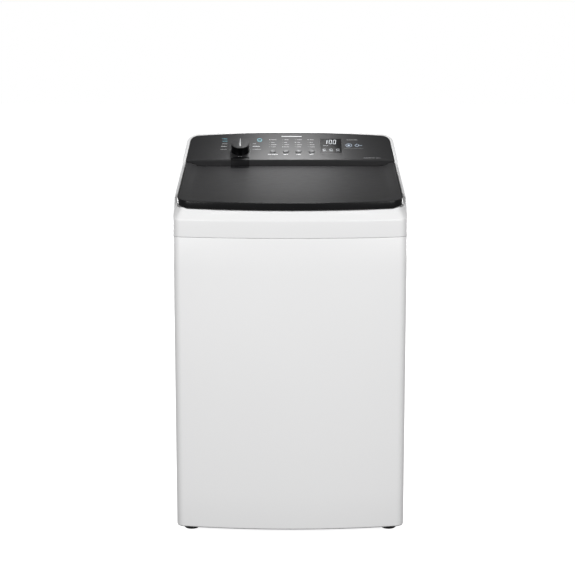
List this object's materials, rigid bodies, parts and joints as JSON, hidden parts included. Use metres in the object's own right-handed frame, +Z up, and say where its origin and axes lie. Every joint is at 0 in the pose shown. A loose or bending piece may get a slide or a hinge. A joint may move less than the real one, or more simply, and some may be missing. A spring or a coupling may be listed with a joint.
{
  "type": "top load washing machine",
  "caption": "Free-standing top load washing machine with a hinged dark lid, sloped control console, suspended tub, spinning basket and belt-driven wash plate.",
  "frame": {"origin": "middle of the footprint, on the floor under the feet", "axes": "+Z up, +X to the right of a person facing the front, front faces -Y"},
  "size_m": [0.63, 0.66, 1.06],
  "materials": {
    "cabinet_enamel": "smooth white enamel",
    "cover_white": "satin white moulding",
    "console_grey": "dark grey with a fine brushed metallic coat",
    "gloss_black": "gloss black",
    "lid_glass": "back-painted dark grey toughened glass",
    "display_glass": "smoked window",
    "stainless": "brushed stainless steel",
    "steel": "bright steel",
    "zinc_sheet": "galvanised sheet",
    "tub_plastic": "plain moulded plastic",
    "dark_plastic": "fine grained dark plastic",
    "pale_plastic": "pale grey plastic",
    "filter_blue": "blue-grey plastic with mesh",
    "rubber": "black rubber",
    "cast_aluminium": "die cast",
    "motor_iron": "painted stator housing",
    "circuit_board": "green board"
  },
  "bodies": {
    "cabinet": {"cabinet_wrap": "cabinet_enamel", "rear_panel": "zinc_sheet", "base_frame": "dark_plastic", "top_cover": "cover_white", "hinge_pin_left": "steel", "hinge_pin_right": "steel", "console_panel": "console_grey", "dial_recess": "gloss_black", "display_window": "display_glass", "control_board": "circuit_board", "console_rear_cover": "cover_white", "lid_lock_housing": "dark_plastic", "dispenser_housing": "cover_white", "inlet_valve": "tub_plastic", "drain_outlet": "dark_plastic", "cord_gland": "dark_plastic", "suspension_rod_front_left": "steel", "suspension_rod_front_right": "steel", "suspension_rod_rear_left": "steel", "suspension_rod_rear_right": "steel"},
    "tub": {"outer_tub": "tub_plastic", "tub_ring": "tub_plastic", "mount_plate": "zinc_sheet", "gearcase": "cast_aluminium", "bearing_upper": "steel", "bearing_lower": "steel", "tub_seal": "rubber", "motor_housing": "motor_iron", "drain_pump": "dark_plastic", "drain_hose": "rubber", "drive_belt": "rubber", "damper_cup_front_left": "tub_plastic", "damper_cup_front_right": "tub_plastic", "damper_cup_rear_left": "tub_plastic", "damper_cup_rear_right": "tub_plastic"},
    "basket": {"basket_drum": "stainless", "balance_ring": "pale_plastic", "basket_hub": "cast_aluminium", "spin_shaft": "steel"},
    "lint_filter": {"lint_filter": "filter_blue"},
    "wash_drive": {"pulsator": "pale_plastic", "drive_shaft": "steel", "pulsator_bolt": "steel", "drive_pulley": "cast_aluminium"},
    "motor_rotor": {"motor_rotor": "steel"},
    "lid": {"lid_frame": "gloss_black", "lid_glass": "lid_glass", "lid_liner": "dark_plastic", "lid_notch_trim": "gloss_black"},
    "dial": {"dial_knob": "gloss_black"},
    "drawer": {"detergent_drawer": "pale_plastic"},
    "lock_bolt": {"lock_bolt": "steel"},
    "button_1": {"option_button_1": "console_grey"},
    "button_2": {"option_button_2": "console_grey"},
    "button_3": {"option_button_3": "console_grey"},
    "button_4": {"option_button_4": "console_grey"},
    "foot_front_left": {"foot_front_left": "rubber"},
    "foot_front_right": {"foot_front_right": "rubber"},
    "foot_rear_left": {"foot_rear_left": "rubber"},
    "foot_rear_right": {"foot_rear_right": "rubber"}
  },
  "joints": [
    {"name": "lid_hinge", "type": "hinge", "parent": "cabinet", "child": "lid", "pos_m": [0, 0.098, 0.969], "axis": [-1, 0, 0], "range_deg": [0, 95]},
    {"name": "dial_turn", "type": "hinge", "parent": "cabinet", "child": "dial", "pos_m": [-0.147, 0.15997, 1.01038], "axis": [0, -0.454, 0.891], "continuous": true},
    {"name": "tub_suspension", "type": "slide", "parent": "cabinet", "child": "tub", "axis": [0, 0, 1], "range_m": [-0.008, 0.006], "stiffness_N_per_m": 22000},
    {"name": "basket_spin", "type": "hinge", "parent": "tub", "child": "basket", "pos_m": [0, -0.02, 0.5], "axis": [0, 0, 1], "continuous": true},
    {"name": "filter_lift", "type": "slide", "parent": "basket", "child": "lint_filter", "axis": [0, 0, 1], "range_m": [0, 0.04]},
    {"name": "wash_plate_turn", "type": "hinge", "parent": "tub", "child": "wash_drive", "pos_m": [0, -0.02, 0.36], "axis": [0, 0, 1], "continuous": true},
    {"name": "motor_turn", "type": "hinge", "parent": "tub", "child": "motor_rotor", "pos_m": [0, 0.15, 0.15], "axis": [0, 0, 1], "continuous": true},
    {"name": "drawer_slide", "type": "slide", "parent": "cabinet", "child": "drawer", "axis": [0, -1, 0], "range_m": [0, 0.07]},
    {"name": "lock_bolt_slide", "type": "slide", "parent": "cabinet", "child": "lock_bolt", "axis": [0, 0, 1], "range_m": [0, 0.009]},
    {"name": "button_1_press", "type": "slide", "parent": "cabinet", "child": "button_1", "axis": [0, 0.454, -0.891], "range_m": [0, 0.0012], "stiffness_N_per_m": 800},
    {"name": "button_2_press", "type": "slide", "parent": "cabinet", "child": "button_2", "axis": [0, 0.454, -0.891], "range_m": [0, 0.0012], "stiffness_N_per_m": 800},
    {"name": "button_3_press", "type": "slide", "parent": "cabinet", "child": "button_3", "axis": [0, 0.454, -0.891], "range_m": [0, 0.0012], "stiffness_N_per_m": 800},
    {"name": "button_4_press", "type": "slide", "parent": "cabinet", "child": "button_4", "axis": [0, 0.454, -0.891], "range_m": [0, 0.0012], "stiffness_N_per_m": 800},
    {"name": "foot_turn_front_left", "type": "hinge", "parent": "cabinet", "child": "foot_front_left", "pos_m": [-0.275, -0.262, 0.006], "axis": [0, 0, 1], "continuous": true},
    {"name": "foot_turn_front_right", "type": "hinge", "parent": "cabinet", "child": "foot_front_right", "pos_m": [0.275, -0.262, 0.006], "axis": [0, 0, 1], "continuous": true},
    {"name": "foot_turn_rear_left", "type": "hinge", "parent": "cabinet", "child": "foot_rear_left", "pos_m": [-0.275, 0.295, 0.006], "axis": [0, 0, 1], "continuous": true},
    {"name": "foot_turn_rear_right", "type": "hinge", "parent": "cabinet", "child": "foot_rear_right", "pos_m": [0.275, 0.295, 0.006], "axis": [0, 0, 1], "continuous": true}
  ],
  "couplings": [
    {"joint": "motor_turn", "follows": "wash_plate_turn", "ratio": 2.5}
  ]
}
